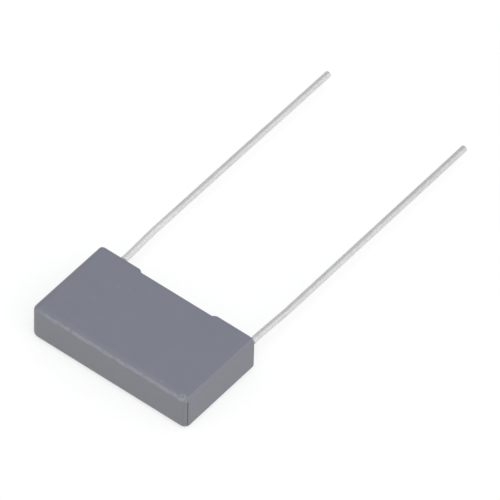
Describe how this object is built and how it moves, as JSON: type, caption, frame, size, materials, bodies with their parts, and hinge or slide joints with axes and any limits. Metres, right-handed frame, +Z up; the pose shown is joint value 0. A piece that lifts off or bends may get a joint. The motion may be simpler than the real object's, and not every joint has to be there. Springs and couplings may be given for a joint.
{
  "type": "polyester film capacitor",
  "caption": "Box-type polyester film capacitor: a grey moulded case with rounded edges and standoff feet, potted with resin, with long straight tinned wire leads.",
  "frame": {"origin": "middle of the broad face that the capacitor lies on", "axes": "+X along the case, +Y from the closed end towards the leads, +Z up through the case's thickness"},
  "size_m": [0.0176, 0.0406, 0.004],
  "materials": {
    "case_plastic": "satin moulded grey",
    "potting_epoxy": "smooth cast resin",
    "metallised_film": "pressed film roll",
    "sprayed_metal": "rough sprayed zinc",
    "tinned_wire": "bright tin"
  },
  "bodies": {
    "root": {"case": "case_plastic", "potting_resin": "potting_epoxy", "film_winding": "metallised_film", "end_spray_left": "sprayed_metal", "end_spray_right": "sprayed_metal", "lead_left": "tinned_wire", "lead_right": "tinned_wire"}
  },
  "joints": []
}
